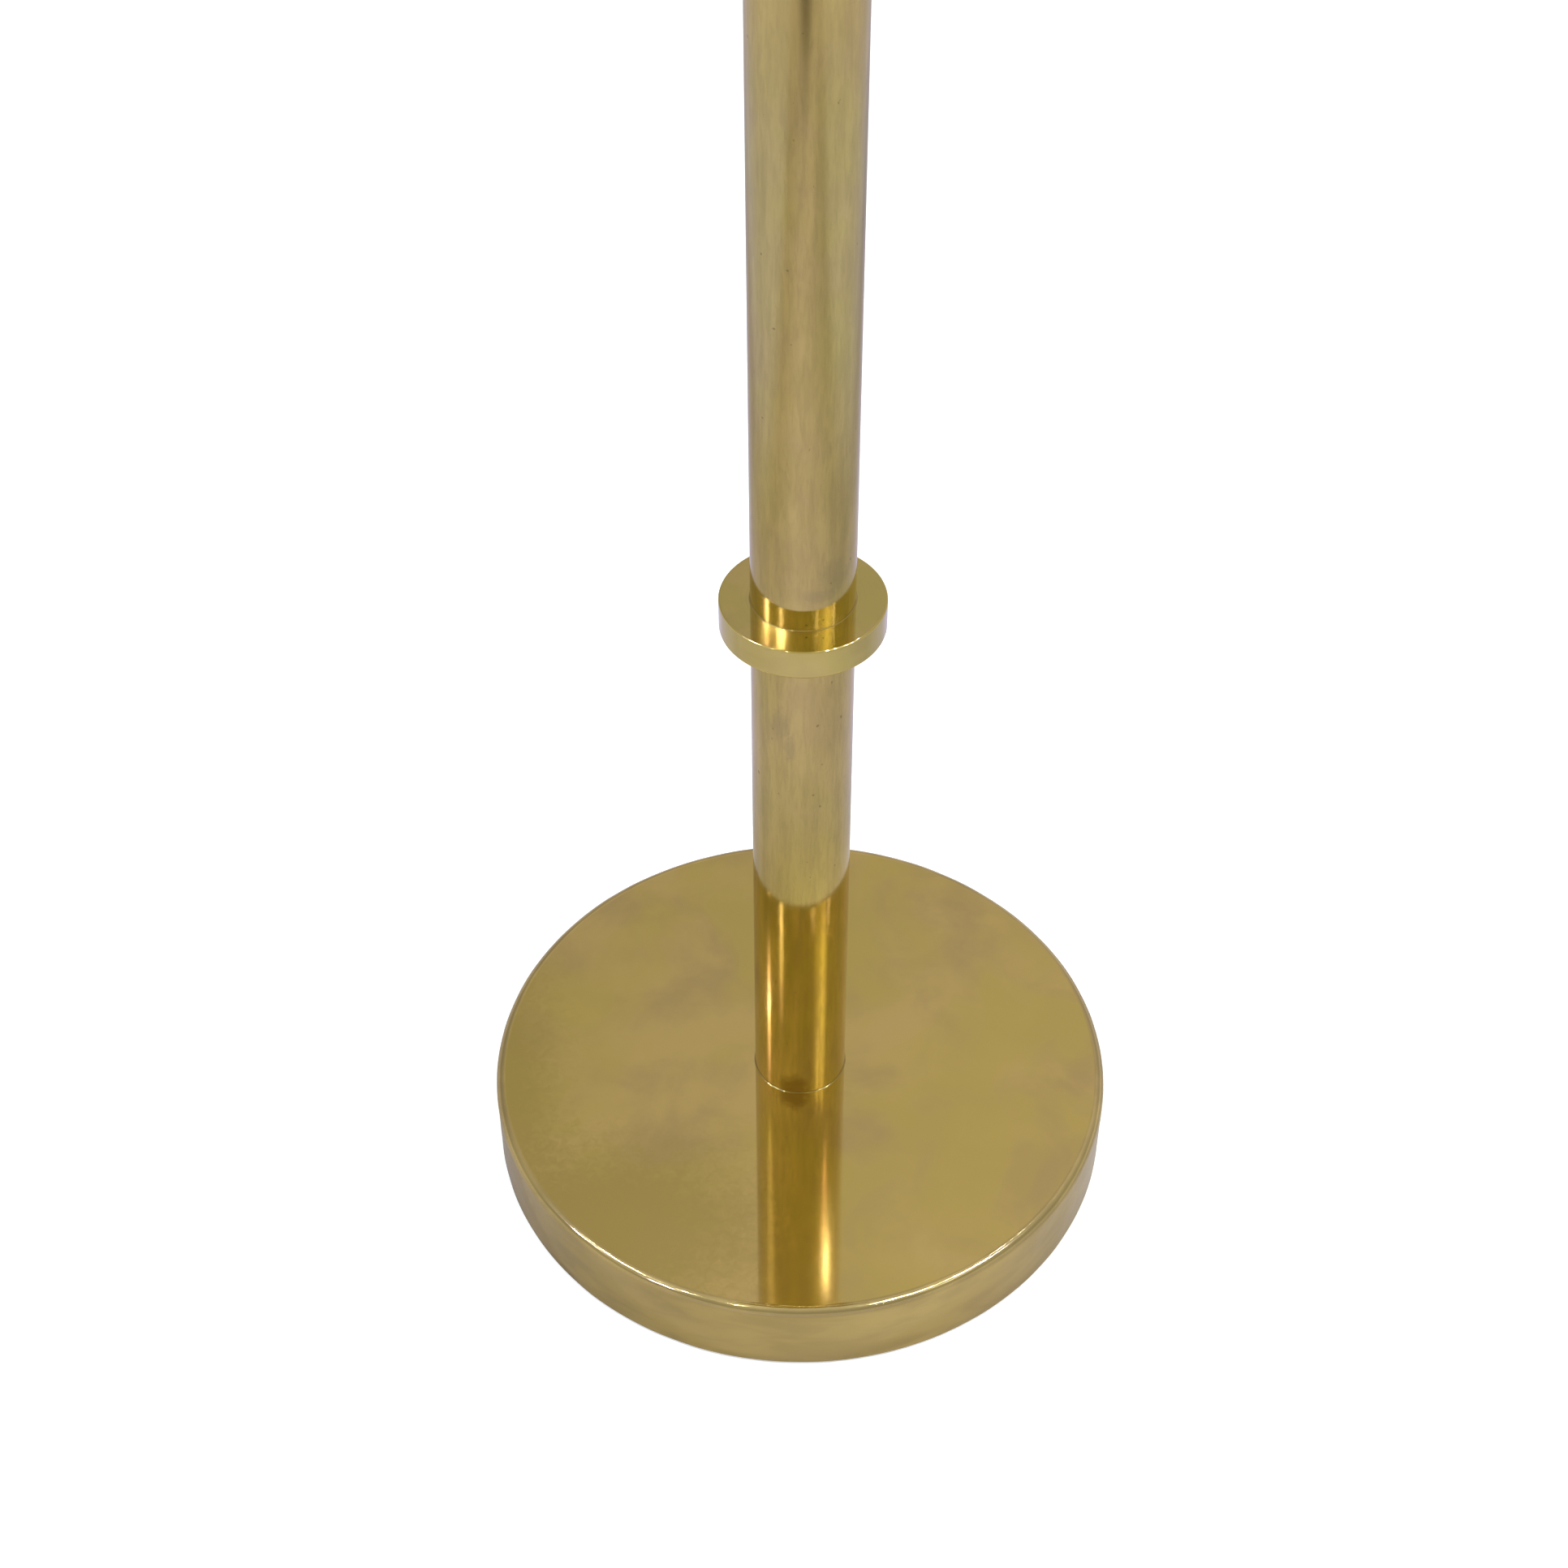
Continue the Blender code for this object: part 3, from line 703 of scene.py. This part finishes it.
def mirrored_floor_light_and_shade(n):
    """The floor as the metal sees it: uneven painted light and shade, with the painted shadow of
    whoever stands in front of it.
    """
    split = n.add("ShaderNodeSeparateXYZ")
    n.link(n.coords, split.inputs["Vector"])
    sideways = split.outputs["X"]
    across = n.math("ABSOLUTE", sideways, 0.0)
    radius = n.radius()
    # painted light: the tone changes from left to right, and is brighter at the sides, near the
    # object and far away
    tone = n.mix(n.ramp(sideways, -0.30, 0.30), FLOOR_LEFT, FLOOR_RIGHT)
    tone = n.mix(n.ramp(across, 0.27, 0.40), tone, FLOOR_SIDE)
    tone = n.mix(n.ramp(radius, 0.10, 0.15, 1.0, 0.0), tone, FLOOR_RIM)
    near = n.math("MULTIPLY", n.ramp(radius, 0.11, 0.18), n.ramp(across, 0.05, 0.30, 1.0, 0.0))
    tone = n.mix(near, tone, FLOOR_NEAR)
    tone = n.mix(n.ramp(radius, 0.50, 0.90), tone, FLOOR_FAR)
    # painted shade on the floor just beside the base, on its left
    beside = n.math("MULTIPLY", n.ramp(sideways, -0.07, 0.03, 0.3, 0.0),
                    n.ramp(radius, 0.09, 0.14, 1.0, 0.0))
    tone = n.mix(beside, tone, FLOOR_SHADE)
    # painted shadow of whoever stands in front of the object
    away = n.add("ShaderNodeVectorMath", operation="DISTANCE")
    away.inputs[1].default_value = SHADOW_PLACE
    n.link(n.coords, away.inputs[0])
    shadow = n.ramp(away.outputs["Value"], SHADOW_INNER, SHADOW_OUTER, SHADOW_STRENGTH, 0.0)
    return n.mix(shadow, tone, FLOOR_SHADE)


def floor_material():
    """A plain pale floor to the camera; an uneven one with painted light and shade to the rays
    that the metal mirrors.
    """
    n = Nodes("pale_floor")
    n.shader.inputs["Roughness"].default_value = 0.9
    n.shader.inputs["Specular IOR Level"].default_value = 0.0
    seen = n.add("ShaderNodeLightPath").outputs["Is Camera Ray"]
    n.link(n.mix(seen, mirrored_floor_light_and_shade(n), FLOOR_SEEN), n.shader.inputs["Base Color"])
    n.shader.inputs["Emission Color"].default_value = (*FLOOR_LIFT, 1.0)
    n.link(seen, n.shader.inputs["Emission Strength"])
    return n.material


def make_floor():
    signs = ((-1, -1), (1, -1), (1, 1), (-1, 1))
    corners = [(x * FLOOR_HALF, y * FLOOR_HALF, 0.0) for x, y in signs]
    mesh = bpy.data.meshes.new("floor")
    mesh.from_pydata(corners, [], [(0, 1, 2, 3)])
    mesh.materials.append(floor_material())
    floor = bpy.data.objects.new("floor", mesh)
    bpy.context.scene.collection.objects.link(floor)


ROOM_FRONT = (0.54, 0.52, 0.58)       # the room on the camera's side
ROOM_LEFT = (0.46, 0.43, 0.50)        # behind the object, to the left
ROOM_RIGHT = (0.60, 0.56, 0.68)       # behind the object, to the right
BACKDROP = (0.93, 0.93, 0.92)         # what the camera sees past the floor
ROOM_HEIGHTS = [  # sine of the elevation, brightness of the room there
    (0.00, 1.30), (0.22, 1.30), (0.36, 0.90), (0.50, 0.90), (0.62, 0.95), (0.80, 1.18),
    (1.00, 1.50),
]


def make_world():
    """A soft room: pale walls, a darker band above them, a paler ceiling. Plain to the camera."""
    world = bpy.data.worlds.new("studio")
    world.use_nodes = True
    bpy.context.scene.world = world
    tree = world.node_tree

    def add(kind):
        return tree.nodes.new(kind)

    def ramp(output, low, high):
        node = add("ShaderNodeMapRange")
        node.inputs["From Min"].default_value = low
        node.inputs["From Max"].default_value = high
        tree.links.new(output, node.inputs["Value"])
        return node.outputs["Result"]

    def mix(fac, a, b):
        node = add("ShaderNodeMix")
        node.data_type = "RGBA"
        sockets = [s for s in node.inputs if s.type == "RGBA"]
        for socket, value in zip(sockets, (a, b)):
            if isinstance(value, tuple):
                socket.default_value = (*value, 1.0)
            else:
                tree.links.new(value, socket)
        tree.links.new(fac, node.inputs["Factor"])
        return [s for s in node.outputs if s.type == "RGBA"][0]

    coords = add("ShaderNodeTexCoord")
    split = add("ShaderNodeSeparateXYZ")
    tree.links.new(coords.outputs["Generated"], split.inputs["Vector"])
    behind = mix(ramp(split.outputs["X"], -0.2, 0.2), ROOM_LEFT, ROOM_RIGHT)
    room = mix(ramp(split.outputs["Y"], 0.2, 0.5), ROOM_FRONT, behind)
    heights = add("ShaderNodeValToRGB")
    stops = heights.color_ramp.elements
    for number, (place, value) in enumerate(ROOM_HEIGHTS):
        inner = 0 < number < len(ROOM_HEIGHTS) - 1
        stop = stops.new(place) if inner else stops[-1 if number else 0]
        stop.color = (value, value, value, 1.0)
    tree.links.new(split.outputs["Z"], heights.inputs["Fac"])
    level = add("ShaderNodeVectorMath")
    level.operation = "MULTIPLY"
    tree.links.new(room, level.inputs[0])
    tree.links.new(heights.outputs["Color"], level.inputs[1])
    seen = add("ShaderNodeLightPath").outputs["Is Camera Ray"]
    color = mix(seen, level.outputs["Vector"], BACKDROP)
    tree.links.new(color, tree.nodes["Background"].inputs["Color"])


# lamp colours: bluish, because the brass takes most of the blue out of them
GLINT = (0.33, 0.34, 1.0)
GLOW = (0.50, 0.36, 1.0)
SOFT = (0.60, 0.60, 1.0)
CLEAR = (0.60, 0.70, 1.0)
STEM_LAMPS = [  # azimuth, distance from the stem, height, diameter, radiance, colour
    (-48.2, 1.058, 1.074, 0.012, 12000.0, GLINT),
    (-48.2, 1.058, 1.107, 0.040, 3.5, GLOW),
    (-48.2, 1.058, 1.150, 0.070, 3.0, GLOW),
    (-84.5, 0.646, 0.716, 0.016, 3500.0, GLINT),
    (-84.5, 0.630, 0.710, 0.030, 4.0, SOFT),
    (-84.5, 0.630, 0.710, 0.090, 3.0, GLOW),
    (-85.0, 0.600, 0.980, 0.250, 0.9, SOFT),
    (82.0, 0.610, 0.951, 0.024, 2500.0, GLINT),
    (72.0, 0.620, 0.900, 0.090, 4.0, GLOW),
    (38.0, 0.720, 0.792, 0.140, 0.4, SOFT),
    (45.0, 0.720, 0.792, 0.140, 0.7, SOFT),
    (45.0, 0.720, 0.862, 0.060, 2.2, SOFT),
    (52.0, 0.720, 0.792, 0.140, 1.0, SOFT),
    (59.0, 0.720, 0.792, 0.160, 1.6, SOFT),
    (30.0, 1.117, 1.120, 0.014, 200.0, GLINT),
    (70.0, 1.117, 1.120, 0.014, 120.0, GLINT),
]
RIM_LAMPS = [  # azimuth, radiance: bulbs high up, which only glint on the rims
    (-103.0, 600.0), (-95.0, 800.0), (-88.0, 800.0), (-76.0, 350.0), (-52.0, 700.0),
    (-27.0, 350.0), (43.0, 2500.0), (55.0, 700.0), (58.0, 400.0), (77.5, 700.0), (81.0, 400.0),
    (92.0, 350.0), (140.0, 400.0),
]
RIM_LAMP_DISTANCE = 0.51
RIM_LAMP_HEIGHT = 1.04
RIM_BULB = 0.024


def make_lights(target):
    """Round lamps above the table, mostly small and bright, all turned to the target."""
    rim_lamps = [(azimuth, RIM_LAMP_DISTANCE, RIM_LAMP_HEIGHT, RIM_BULB, radiance, CLEAR)
                 for azimuth, radiance in RIM_LAMPS]
    for number, lamp in enumerate(STEM_LAMPS + rim_lamps, start=1):
        azimuth, distance, height, diameter, radiance, color = lamp
        data = bpy.data.lights.new(f"lamp_{number}", "AREA")
        data.shape = "DISK"
        data.size = diameter
        data.energy = radiance * math.pi * math.pi * (diameter / 2) ** 2
        data.color = color
        light = bpy.data.objects.new(data.name, data)
        turn = math.radians(azimuth)
        light.location = (math.sin(turn) * distance, -math.cos(turn) * distance, height)
        aim(light, target)
        bpy.context.scene.collection.objects.link(light)


CAMERA_BACK = 0.4617          # from the stem's axis
CAMERA_UP = 0.5749            # above the table
CAMERA_TILT = math.radians(43.95)
CAMERA_TURN = math.radians(0.557)
LENS = 58.53


def make_camera():
    data = bpy.data.cameras.new("camera")
    data.sensor_width = 36.0
    data.lens = LENS
    data.clip_start = 0.01
    camera = bpy.data.objects.new("camera", data)
    camera.location = (0.0, -CAMERA_BACK, CAMERA_UP)
    camera.rotation_euler = (math.pi / 2 - CAMERA_TILT, 0.0, CAMERA_TURN)
    bpy.context.scene.collection.objects.link(camera)
    bpy.context.scene.camera = camera


def main():
    scene = bpy.context.scene
    scene.view_settings.view_transform = "Standard"
    make_camera()
    make_world()
    make_floor()
    make_lights((0.0, 0.0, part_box("base_cover")[1].z))
    base = base_brass()
    tube = tube_brass()
    ring = ring_brass()
    pan = pan_brass()
    make_base_cover(base)
    make_tube("stem_lower", "lower_tube", tube)
    make_tube("stem_upper", "upper_tube", tube)
    make_collar("ring_collar", "stem_collar", ring)
    make_collar("ring_under_pan", "pan_collar", ring)
    make_drip_pan(pan)
    make_pan_washer(ring)
    make_candle_spike(tube)
    make_felt(felt_material())
    finish_inner_pieces()


main()
